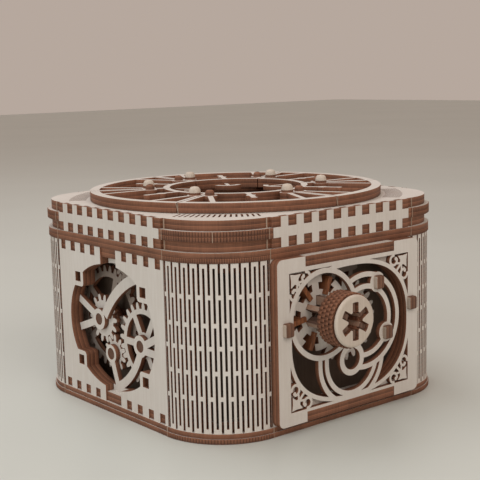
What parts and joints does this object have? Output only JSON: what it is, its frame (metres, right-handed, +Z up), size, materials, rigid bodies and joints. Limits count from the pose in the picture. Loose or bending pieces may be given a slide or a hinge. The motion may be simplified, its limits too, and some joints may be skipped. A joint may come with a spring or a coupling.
{
  "type": "wooden puzzle box",
  "caption": "Square laser-cut plywood puzzle box with bent corner panels, geared windows, a fretwork key panel with a turning key, and a round lid of swinging petals",
  "frame": {"origin": "centre of the resting face, on the axis of the lid", "axes": "+Z up; the key panel faces -Y; geared windows face -X, +X and +Y"},
  "size_m": [0.1646, 0.189, 0.111],
  "materials": {
    "birch_ply": "bare birch plywood, matt, with laser-browned cut edges",
    "burnt_edge_ply": "stacked plywood seen on its laser-browned cut edges, matt",
    "amber_ply": "plywood pegs and ribs, warm brown cut edges, matt"
  },
  "bodies": {
    "box": {"base": "birch_ply", "lower_tab_plate": "birch_ply", "upper_tab_plate": "birch_ply", "corner_walls": "birch_ply", "window_panel_left": "birch_ply", "window_panel_right": "birch_ply", "window_panel_back": "birch_ply", "window_liners": "burnt_edge_ply", "window_bridges": "birch_ply", "front_wall": "burnt_edge_ply", "key_panel_backing": "burnt_edge_ply", "key_panel": "birch_ply", "key_panel_pegs": "amber_ply", "inner_chamber": "birch_ply", "wheel_pins": "amber_ply", "rim": "burnt_edge_ply", "recess_rim": "burnt_edge_ply", "collar": "burnt_edge_ply", "top_plate": "birch_ply", "comb_strips": "birch_ply"},
    "ring": {"crown_ring": "burnt_edge_ply", "sun_gear": "birch_ply"},
    "front_crown": {"front_crown_wheel": "birch_ply"},
    "front_idler": {"front_wheel": "birch_ply"},
    "key_drive": {"key_wheel": "birch_ply", "star_discs": "birch_ply", "drive_ribs": "amber_ply"},
    "key": {"key_barrel": "burnt_edge_ply", "key_face": "birch_ply", "key_ribs": "amber_ply"},
    "transfer_wheel_right": {"transfer_wheel_right": "birch_ply"},
    "large_wheel_right": {"large_wheel_right": "birch_ply"},
    "idle_wheel_right": {"idle_wheel_right": "birch_ply"},
    "spoked_wheel_right": {"spoked_wheel_right": "birch_ply"},
    "transfer_wheel_back": {"transfer_wheel_back": "birch_ply"},
    "large_wheel_back": {"large_wheel_back": "birch_ply"},
    "idle_wheel_back": {"idle_wheel_back": "birch_ply"},
    "spoked_wheel_back": {"spoked_wheel_back": "birch_ply"},
    "transfer_wheel_left": {"transfer_wheel_left": "birch_ply"},
    "large_wheel_left": {"large_wheel_left": "birch_ply"},
    "idle_wheel_left": {"idle_wheel_left": "birch_ply"},
    "spoked_wheel_left": {"spoked_wheel_left": "birch_ply"},
    "petal_1": {"petal_1_plate": "birch_ply", "petal_1_frame": "birch_ply", "petal_1_pivot": "amber_ply"},
    "petal_2": {"petal_2_plate": "birch_ply", "petal_2_frame": "birch_ply", "petal_2_pivot": "amber_ply"},
    "petal_3": {"petal_3_plate": "birch_ply", "petal_3_frame": "birch_ply", "petal_3_pivot": "amber_ply"},
    "petal_4": {"petal_4_plate": "birch_ply", "petal_4_frame": "birch_ply", "petal_4_pivot": "amber_ply"},
    "petal_5": {"petal_5_plate": "birch_ply", "petal_5_frame": "birch_ply", "petal_5_pivot": "amber_ply"},
    "petal_6": {"petal_6_plate": "birch_ply", "petal_6_frame": "birch_ply", "petal_6_pivot": "amber_ply"}
  },
  "joints": [
    {"name": "ring_turn", "type": "hinge", "parent": "box", "child": "ring", "pos_m": [0, 0, 0.0908], "axis": [0, 0, 1], "range_deg": [0, 8.23]},
    {"name": "front_crown_turn", "type": "hinge", "parent": "box", "child": "front_crown", "pos_m": [0, -0.0688, 0.0698], "axis": [0, -1, 0], "range_deg": [-29.99, 0]},
    {"name": "front_wheel_turn", "type": "hinge", "parent": "box", "child": "front_idler", "pos_m": [0.0077, -0.0728, 0.04539], "axis": [0, -1, 0], "range_deg": [0, 88.96]},
    {"name": "key_turn", "type": "hinge", "parent": "box", "child": "key_drive", "pos_m": [-0.018, -0.0815, 0.05429], "axis": [0, 1, 0], "range_deg": [0, 212.8]},
    {"name": "key_withdraw", "type": "slide", "parent": "key_drive", "child": "key", "axis": [0, -1, 0], "range_m": [0, 0.035]},
    {"name": "transfer_wheel_right_turn", "type": "hinge", "parent": "box", "child": "transfer_wheel_right", "pos_m": [0.0688, 0, 0.077], "axis": [1, 0, 0], "range_deg": [-47.68, 0]},
    {"name": "large_wheel_right_turn", "type": "hinge", "parent": "box", "child": "large_wheel_right", "pos_m": [0.0688, -0.0185, 0.04427], "axis": [1, 0, 0], "range_deg": [0, 22.61]},
    {"name": "idle_wheel_right_turn", "type": "hinge", "parent": "box", "child": "idle_wheel_right", "pos_m": [0.0728, -0.0084, 0.02794], "axis": [1, 0, 0], "range_deg": [-31.46, 0]},
    {"name": "spoked_wheel_right_turn", "type": "hinge", "parent": "box", "child": "spoked_wheel_right", "pos_m": [0.0728, 0.0182, 0.03667], "axis": [1, 0, 0], "range_deg": [0, 12.88]},
    {"name": "transfer_wheel_back_turn", "type": "hinge", "parent": "box", "child": "transfer_wheel_back", "pos_m": [0, 0.0688, 0.077], "axis": [0, 1, 0], "range_deg": [-47.68, 0]},
    {"name": "large_wheel_back_turn", "type": "hinge", "parent": "box", "child": "large_wheel_back", "pos_m": [0.0185, 0.0688, 0.04427], "axis": [0, 1, 0], "range_deg": [0, 22.61]},
    {"name": "idle_wheel_back_turn", "type": "hinge", "parent": "box", "child": "idle_wheel_back", "pos_m": [0.0084, 0.0728, 0.02794], "axis": [0, 1, 0], "range_deg": [-31.46, 0]},
    {"name": "spoked_wheel_back_turn", "type": "hinge", "parent": "box", "child": "spoked_wheel_back", "pos_m": [-0.0182, 0.0728, 0.03667], "axis": [0, 1, 0], "range_deg": [0, 12.88]},
    {"name": "transfer_wheel_left_turn", "type": "hinge", "parent": "box", "child": "transfer_wheel_left", "pos_m": [-0.0688, 0, 0.077], "axis": [-1, 0, 0], "range_deg": [-47.68, 0]},
    {"name": "large_wheel_left_turn", "type": "hinge", "parent": "box", "child": "large_wheel_left", "pos_m": [-0.0688, 0.0185, 0.04427], "axis": [-1, 0, 0], "range_deg": [0, 22.61]},
    {"name": "idle_wheel_left_turn", "type": "hinge", "parent": "box", "child": "idle_wheel_left", "pos_m": [-0.0728, 0.0084, 0.02794], "axis": [-1, 0, 0], "range_deg": [-31.46, 0]},
    {"name": "spoked_wheel_left_turn", "type": "hinge", "parent": "box", "child": "spoked_wheel_left", "pos_m": [-0.0728, -0.0182, 0.03667], "axis": [-1, 0, 0], "range_deg": [0, 12.88]},
    {"name": "petal_1_swing", "type": "hinge", "parent": "box", "child": "petal_1", "pos_m": [0.05307, 0.03856, 0.1026], "axis": [0, 0, 1], "range_deg": [-48.5, 0]},
    {"name": "petal_2_swing", "type": "hinge", "parent": "box", "child": "petal_2", "pos_m": [-0.00686, 0.06524, 0.1026], "axis": [0, 0, 1], "range_deg": [-48.5, 0]},
    {"name": "petal_3_swing", "type": "hinge", "parent": "box", "child": "petal_3", "pos_m": [-0.05993, 0.02668, 0.1026], "axis": [0, 0, 1], "range_deg": [-48.5, 0]},
    {"name": "petal_4_swing", "type": "hinge", "parent": "box", "child": "petal_4", "pos_m": [-0.05307, -0.03856, 0.1026], "axis": [0, 0, 1], "range_deg": [-48.5, 0]},
    {"name": "petal_5_swing", "type": "hinge", "parent": "box", "child": "petal_5", "pos_m": [0.00686, -0.06524, 0.1026], "axis": [0, 0, 1], "range_deg": [-48.5, 0]},
    {"name": "petal_6_swing", "type": "hinge", "parent": "box", "child": "petal_6", "pos_m": [0.05993, -0.02668, 0.1026], "axis": [0, 0, 1], "range_deg": [-48.5, 0]}
  ],
  "couplings": [
    {"joint": "front_crown_turn", "follows": "ring_turn", "ratio": -3.5833},
    {"joint": "front_wheel_turn", "follows": "ring_turn", "ratio": 10.75},
    {"joint": "key_turn", "follows": "ring_turn", "ratio": 25.8},
    {"joint": "transfer_wheel_right_turn", "follows": "ring_turn", "ratio": -5.7333},
    {"joint": "large_wheel_right_turn", "follows": "ring_turn", "ratio": 2.6875},
    {"joint": "idle_wheel_right_turn", "follows": "ring_turn", "ratio": -3.7625},
    {"joint": "spoked_wheel_right_turn", "follows": "ring_turn", "ratio": 1.505},
    {"joint": "transfer_wheel_back_turn", "follows": "ring_turn", "ratio": -5.7333},
    {"joint": "large_wheel_back_turn", "follows": "ring_turn", "ratio": 2.6875},
    {"joint": "idle_wheel_back_turn", "follows": "ring_turn", "ratio": -3.7625},
    {"joint": "spoked_wheel_back_turn", "follows": "ring_turn", "ratio": 1.505},
    {"joint": "transfer_wheel_left_turn", "follows": "ring_turn", "ratio": -5.7333},
    {"joint": "large_wheel_left_turn", "follows": "ring_turn", "ratio": 2.6875},
    {"joint": "idle_wheel_left_turn", "follows": "ring_turn", "ratio": -3.7625},
    {"joint": "spoked_wheel_left_turn", "follows": "ring_turn", "ratio": 1.505},
    {"joint": "petal_1_swing", "follows": "ring_turn", "ratio": -5.8333},
    {"joint": "petal_2_swing", "follows": "ring_turn", "ratio": -5.8333},
    {"joint": "petal_3_swing", "follows": "ring_turn", "ratio": -5.8333},
    {"joint": "petal_4_swing", "follows": "ring_turn", "ratio": -5.8333},
    {"joint": "petal_5_swing", "follows": "ring_turn", "ratio": -5.8333},
    {"joint": "petal_6_swing", "follows": "ring_turn", "ratio": -5.8333}
  ]
}
